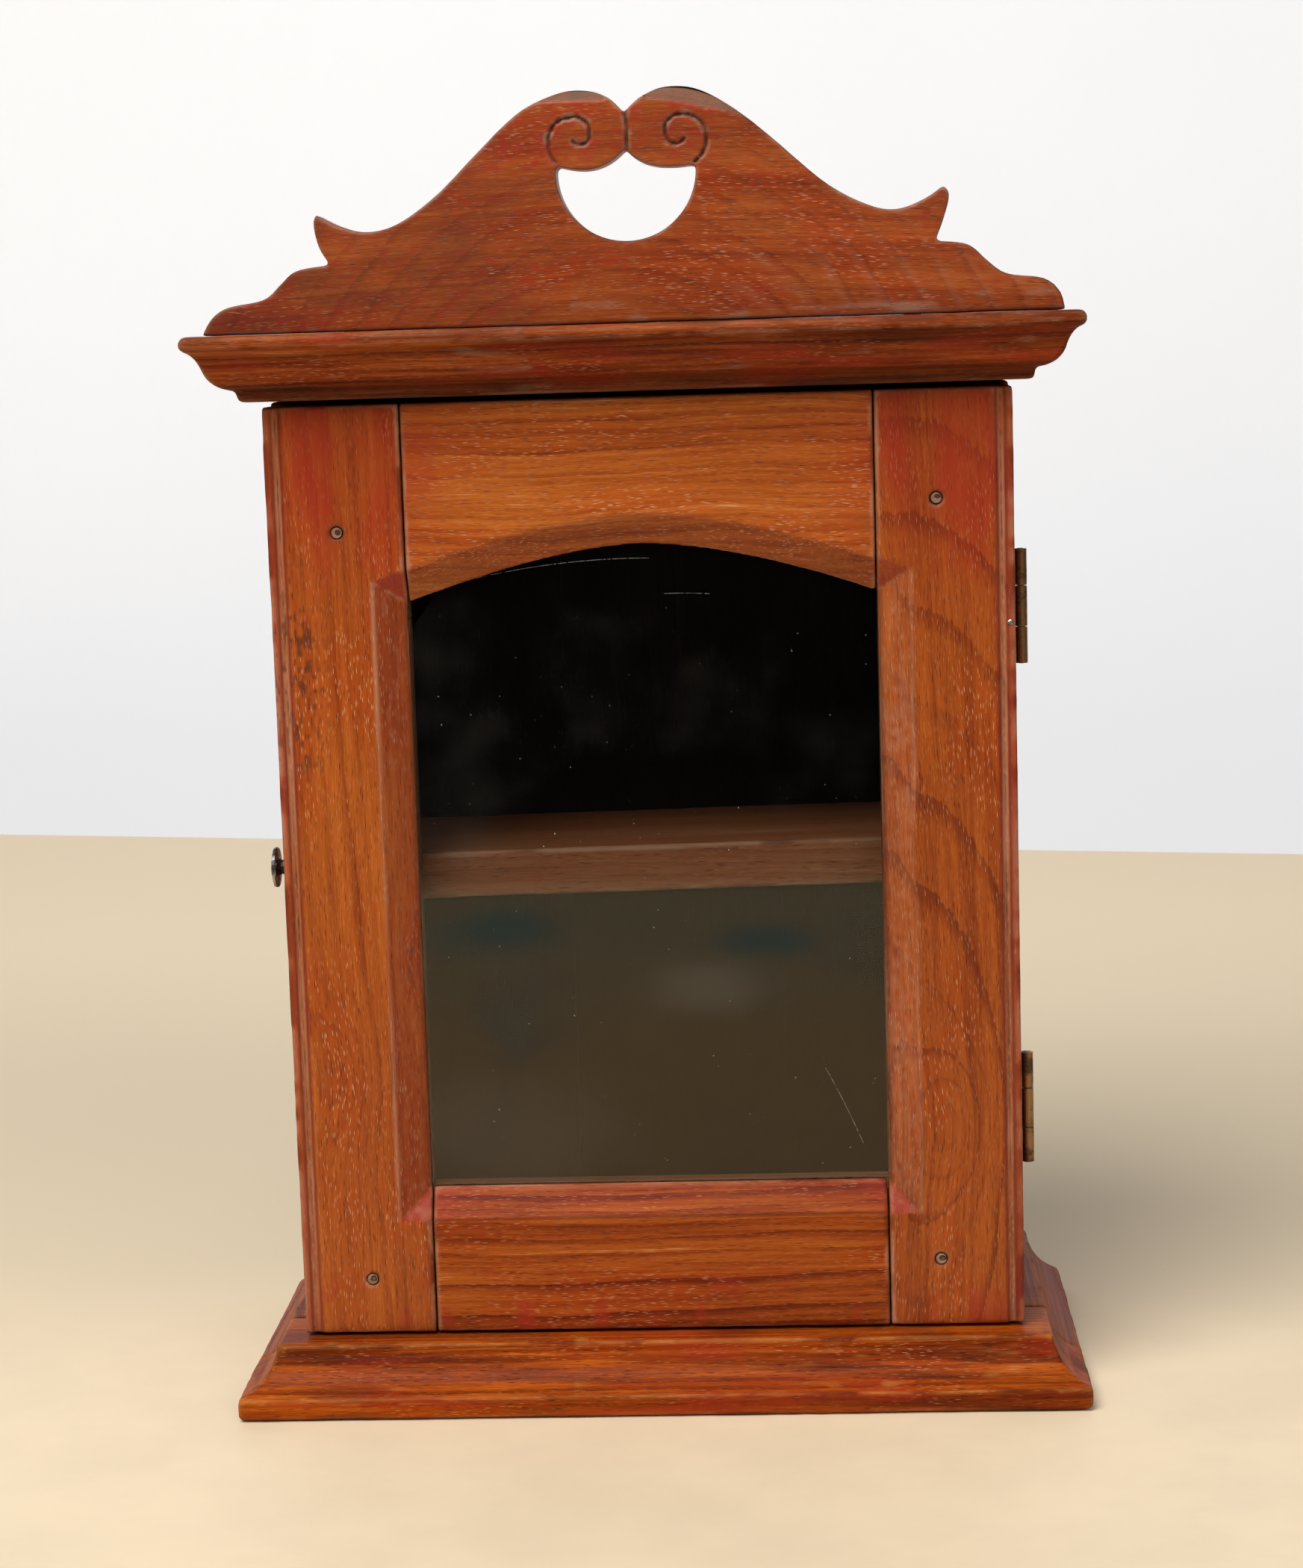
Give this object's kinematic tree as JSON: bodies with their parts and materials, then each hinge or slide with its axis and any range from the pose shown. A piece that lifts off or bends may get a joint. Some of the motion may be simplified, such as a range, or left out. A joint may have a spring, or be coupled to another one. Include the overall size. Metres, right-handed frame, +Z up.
{
  "type": "display case",
  "caption": "Small wooden display cabinet with a moulded plinth and cornice, a scrolled pediment, a fixed shelf and a glazed door with an arched opening, hung on butt hinges.",
  "frame": {"origin": "on the floor, under the middle of the whole object's box", "axes": "+Z up, -Y out of the glazed front, +X to the hinge side, on the right as the front is faced"},
  "size_m": [0.3048, 0.143, 0.4591],
  "materials": {
    "door_teak": "aged orange-brown teak under worn gloss lacquer",
    "case_teak": "aged red-brown teak under worn gloss lacquer",
    "inner_teak": "dark oiled wood, dull",
    "peg_wood": "dark end grain",
    "glass": "old clear sheet glass, dusty and lightly scratched",
    "brass": "aged dark brass",
    "steel": "darkened polished steel"
  },
  "bodies": {
    "case": {"back_board_left": "inner_teak", "back_board_middle": "inner_teak", "back_board_right": "inner_teak", "case_bottom_board": "inner_teak", "case_left_side": "case_teak", "case_right_side": "case_teak", "case_top_board": "inner_teak", "cornice_back_rail": "case_teak", "cornice_front_rail": "case_teak", "cornice_left_rail": "case_teak", "cornice_panel": "case_teak", "cornice_right_rail": "case_teak", "lower_hinge_case_leaf": "brass", "lower_hinge_case_screw_bottom": "brass", "lower_hinge_case_screw_top": "brass", "lower_hinge_pin": "brass", "pediment": "case_teak", "pediment_dowel_left": "peg_wood", "pediment_dowel_right": "peg_wood", "plinth_back_rail": "case_teak", "plinth_front_rail": "case_teak", "plinth_left_rail": "case_teak", "plinth_right_rail": "case_teak", "plinth_screw_left_front": "steel", "plinth_screw_left_rear": "steel", "plinth_screw_right_front": "steel", "plinth_screw_right_rear": "steel", "shelf": "inner_teak", "shelf_cleat_left": "inner_teak", "shelf_cleat_right": "inner_teak", "upper_hinge_case_leaf": "brass", "upper_hinge_case_screw_bottom": "brass", "upper_hinge_case_screw_top": "brass", "upper_hinge_pin": "brass"},
    "door": {"door_bottom_rail": "door_teak", "door_knob": "steel", "door_left_stile": "door_teak", "door_peg_left_lower": "peg_wood", "door_peg_left_upper": "peg_wood", "door_peg_right_lower": "peg_wood", "door_peg_right_upper": "peg_wood", "door_right_stile": "door_teak", "door_top_rail": "door_teak", "glass_pane": "glass", "glazing_bead_bottom": "inner_teak", "glazing_bead_left": "inner_teak", "glazing_bead_right": "inner_teak", "glazing_bead_top": "inner_teak", "lower_hinge_door_leaf": "brass", "lower_hinge_door_screw_bottom": "brass", "lower_hinge_door_screw_top": "brass", "upper_hinge_door_leaf": "brass", "upper_hinge_door_screw_bottom": "brass", "upper_hinge_door_screw_top": "brass"}
  },
  "joints": [
    {"name": "door_hinge", "type": "hinge", "parent": "case", "child": "door", "pos_m": [0.132, -0.0306, 0.19], "axis": [0, 0, 1], "range_deg": [0, 180]}
  ]
}
